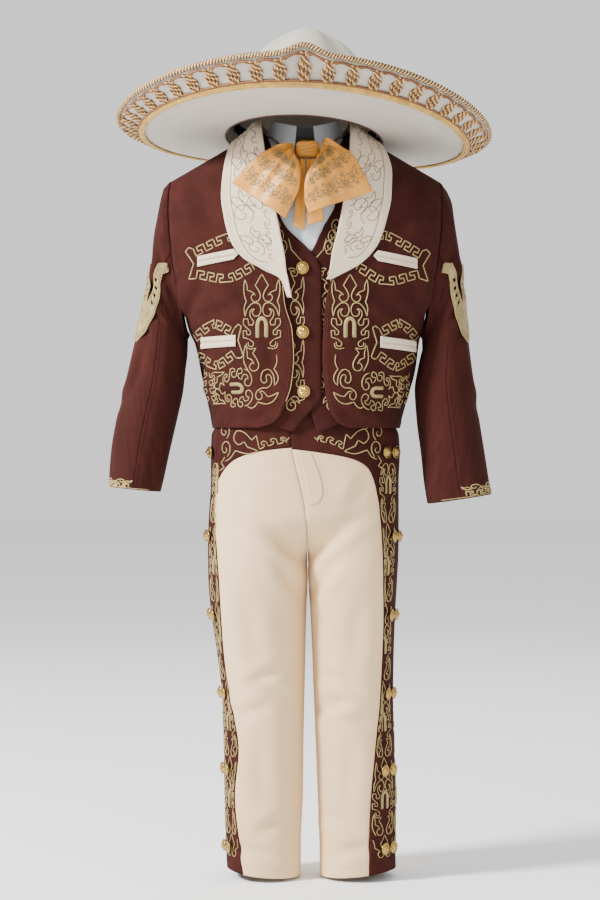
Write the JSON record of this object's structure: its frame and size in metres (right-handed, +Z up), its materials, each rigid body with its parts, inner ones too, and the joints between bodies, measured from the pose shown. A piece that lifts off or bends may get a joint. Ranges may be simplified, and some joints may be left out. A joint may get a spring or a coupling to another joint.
{
  "type": "charro suit",
  "caption": "Child's charro suit, worn form: short brown jacket with cream shawl collar, waistcoat, shirt, satin bow, cream trousers with brown side strips, and sombrero.",
  "frame": {"origin": "base of the neck, in the middle, where the wearer's shoulders carry the suit", "axes": "+Z up, the suit faces -Y, +X on the viewer's right as the suit is seen from the front"},
  "size_m": [0.5143, 0.5353, 1.1446],
  "materials": {
    "brown_suede": "brushed suede cloth",
    "cream_suede": "cream suede cloth with gold stitching",
    "cream_cloth": "plain matt cloth",
    "gilt_applique": "gold cord applique",
    "white_cotton": "plain cotton",
    "peach_satin": "satin",
    "gilt_metal": "polished gilt",
    "cream_felt": "smooth felt",
    "gilt_cord": "twisted metallic cord",
    "navy_band": "woven band"
  },
  "bodies": {
    "root": {"bow_knot": "peach_satin", "bow_tail_l": "peach_satin", "bow_tail_r": "peach_satin", "bow_wing_l": "peach_satin", "bow_wing_r": "peach_satin", "hat_braid": "gilt_cord", "hat_brim": "cream_felt", "hat_crown": "cream_felt", "hat_edge_cord": "gilt_cord", "hat_sweatband": "navy_band", "hat_trellis": "gilt_cord", "jacket_back": "brown_suede", "jacket_collar": "cream_suede", "jacket_front_l": "brown_suede", "jacket_front_r": "brown_suede", "pocket_welt_lower_l": "cream_suede", "pocket_welt_lower_r": "cream_suede", "pocket_welt_upper_l": "cream_suede", "pocket_welt_upper_r": "cream_suede", "shirt_back": "white_cotton", "shirt_collar": "white_cotton", "shirt_front": "white_cotton", "sleeve_horseshoe_l": "gilt_applique", "sleeve_horseshoe_r": "gilt_applique", "sleeve_under_l": "brown_suede", "sleeve_under_r": "brown_suede", "sleeve_upper_l": "brown_suede", "sleeve_upper_r": "brown_suede", "studs_l_1": "gilt_metal", "studs_l_2": "gilt_metal", "studs_l_3": "gilt_metal", "studs_l_4": "gilt_metal", "studs_l_5": "gilt_metal", "studs_l_6": "gilt_metal", "studs_r_1": "gilt_metal", "studs_r_2": "gilt_metal", "studs_r_3": "gilt_metal", "studs_r_4": "gilt_metal", "studs_r_5": "gilt_metal", "studs_r_6": "gilt_metal", "trousers_back_l": "cream_cloth", "trousers_back_r": "cream_cloth", "trousers_back_yoke": "brown_suede", "trousers_fly": "cream_cloth", "trousers_front_l": "cream_cloth", "trousers_front_r": "cream_cloth", "trousers_strip_l": "brown_suede", "trousers_strip_r": "brown_suede", "trousers_waistband": "brown_suede", "trousers_yoke_l": "brown_suede", "trousers_yoke_r": "brown_suede", "vest_back": "brown_suede", "vest_button_1": "gilt_metal", "vest_button_2": "gilt_metal", "vest_button_3": "gilt_metal", "vest_front_l": "brown_suede", "vest_front_r": "brown_suede"}
  },
  "joints": []
}
